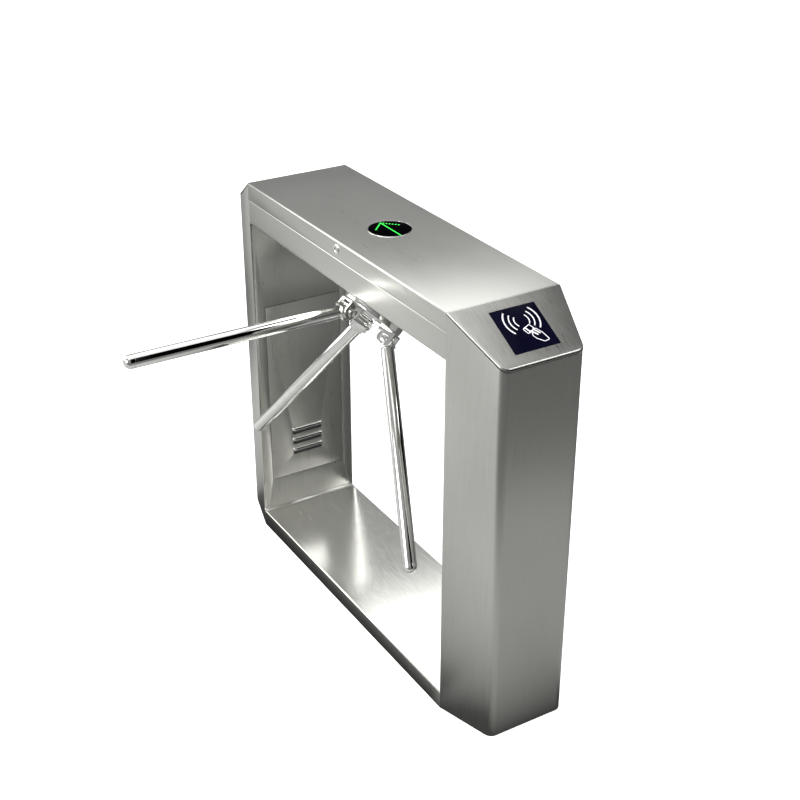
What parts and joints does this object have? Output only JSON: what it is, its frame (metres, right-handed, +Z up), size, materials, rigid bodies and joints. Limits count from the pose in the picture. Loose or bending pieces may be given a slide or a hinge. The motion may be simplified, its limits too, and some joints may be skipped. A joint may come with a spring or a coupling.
{
  "type": "tripod turnstile",
  "caption": "Bridge-type visitor counter turnstile: satin steel cabinet on two legs with a turning tripod of polished arms, hinged lid, leg doors, light indicator and card window.",
  "frame": {"origin": "on the floor under the middle of the cabinet, on the underside of the plinth support", "axes": "+X along the cabinet towards the leg with the card reader, -Y towards the passage that the horizontal arm bars, +Z up"},
  "size_m": [1.203, 0.796, 1.0006],
  "materials": {
    "satin_steel": "satin brushed",
    "polished_steel": "polished",
    "dark_window": "gloss",
    "zinc_steel": "zinc plated",
    "machined_steel": "turned",
    "black_plastic": "matte",
    "circuit_board": "matte",
    "painted_coil": "satin"
  },
  "bodies": {
    "cabinet": {"beam_casing": "satin_steel", "bearing_housing": "satin_steel", "control_board": "circuit_board", "entry_solenoid": "painted_coil", "exit_solenoid": "painted_coil", "far_door_hinge_bottom": "zinc_steel", "far_door_hinge_top": "zinc_steel", "far_foot_plate": "zinc_steel", "far_leg_cap": "satin_steel", "far_leg_inner_panel": "satin_steel", "far_leg_shell": "satin_steel", "lid_hinge_fixed_leaf": "zinc_steel", "lid_hinge_pin": "machined_steel", "lock_striker": "zinc_steel", "lower_bearing": "machined_steel", "mechanism_plate": "zinc_steel", "near_door_hinge_bottom": "zinc_steel", "near_door_hinge_top": "zinc_steel", "near_foot_plate": "zinc_steel", "near_leg_cap": "satin_steel", "near_leg_inner_panel": "satin_steel", "near_leg_shell": "satin_steel", "plinth_cover": "satin_steel", "plinth_support": "zinc_steel", "position_sensor": "black_plastic", "power_supply": "zinc_steel", "reader_module": "black_plastic", "reader_window": "dark_window", "upper_bearing": "machined_steel"},
    "lid": {"lid": "satin_steel", "lid_hinge_moving_leaf": "zinc_steel", "indicator_bezel": "satin_steel", "indicator_lens": "dark_window", "indicator_board": "circuit_board", "lock_barrel": "polished_steel"},
    "lid_lock": {"lock_plug": "polished_steel"},
    "tripod": {"hub_disc": "polished_steel", "main_shaft": "machined_steel", "index_wheel": "zinc_steel", "bracket_a": "polished_steel", "pin_a": "polished_steel", "bracket_b": "polished_steel", "pin_b": "polished_steel", "bracket_c": "polished_steel", "pin_c": "polished_steel"},
    "arm_a": {"arm_a_root": "polished_steel", "arm_a_tube": "polished_steel", "arm_a_cap": "polished_steel"},
    "arm_b": {"arm_b_root": "polished_steel", "arm_b_tube": "polished_steel", "arm_b_cap": "polished_steel"},
    "arm_c": {"arm_c_root": "polished_steel", "arm_c_tube": "polished_steel", "arm_c_cap": "polished_steel"},
    "far_door": {"far_leg_door": "satin_steel"},
    "near_door": {"near_leg_door": "satin_steel"},
    "entry_plunger": {"entry_plunger": "machined_steel"},
    "exit_plunger": {"exit_plunger": "machined_steel"},
    "entry_pawl": {"entry_pawl": "zinc_steel"},
    "exit_pawl": {"exit_pawl": "zinc_steel"}
  },
  "joints": [
    {"name": "hub_turn", "type": "hinge", "parent": "cabinet", "child": "tripod", "pos_m": [0, -0.021, 0.826], "axis": [0, 0.7071, 0.7071], "continuous": true},
    {"name": "arm_a_drop", "type": "hinge", "parent": "tripod", "child": "arm_a", "pos_m": [0, -0.115, 0.826], "axis": [1, 0, 0], "range_deg": [0, 90]},
    {"name": "arm_b_drop", "type": "hinge", "parent": "tripod", "child": "arm_b", "pos_m": [-0.05756, -0.0445, 0.7555], "axis": [-0.5, -0.6124, 0.6124], "range_deg": [0, 45]},
    {"name": "arm_c_drop", "type": "hinge", "parent": "tripod", "child": "arm_c", "pos_m": [0.05756, -0.0445, 0.7555], "axis": [-0.5, 0.6124, -0.6124], "range_deg": [0, 45]},
    {"name": "lid_lift", "type": "hinge", "parent": "cabinet", "child": "lid", "pos_m": [0, 0.137, 0.9565], "axis": [-1, 0, 0], "range_deg": [0, 85]},
    {"name": "lock_turn", "type": "hinge", "parent": "lid", "child": "lid_lock", "pos_m": [0, -0.14, 0.979], "axis": [0, -1, 0], "range_deg": [0, 90]},
    {"name": "far_door_swing", "type": "hinge", "parent": "cabinet", "child": "far_door", "pos_m": [-0.4586, 0.104, 0.396], "axis": [0, 0, 1], "range_deg": [0, 100]},
    {"name": "near_door_swing", "type": "hinge", "parent": "cabinet", "child": "near_door", "pos_m": [0.4586, 0.104, 0.396], "axis": [0, 0, -1], "range_deg": [0, 100]},
    {"name": "entry_plunger_push", "type": "slide", "parent": "cabinet", "child": "entry_plunger", "axis": [-1, 0, 0], "range_m": [0, 0.0078], "stiffness_N_per_m": 200, "springref_m": -0.004},
    {"name": "exit_plunger_push", "type": "slide", "parent": "cabinet", "child": "exit_plunger", "axis": [1, 0, 0], "range_m": [0, 0.0078], "stiffness_N_per_m": 200, "springref_m": -0.004},
    {"name": "entry_pawl_swing", "type": "hinge", "parent": "cabinet", "child": "entry_pawl", "pos_m": [0.052, 0.10345, 0.90661], "axis": [0, -0.7071, -0.7071], "range_deg": [0, 8.3]},
    {"name": "exit_pawl_swing", "type": "hinge", "parent": "cabinet", "child": "exit_pawl", "pos_m": [-0.052, 0.10345, 0.90661], "axis": [0, 0.7071, 0.7071], "range_deg": [0, 8.3]}
  ],
  "couplings": [
    {"joint": "entry_pawl_swing", "follows": "entry_plunger_push", "rad_per_m": 18.25},
    {"joint": "exit_pawl_swing", "follows": "exit_plunger_push", "rad_per_m": 18.25}
  ]
}
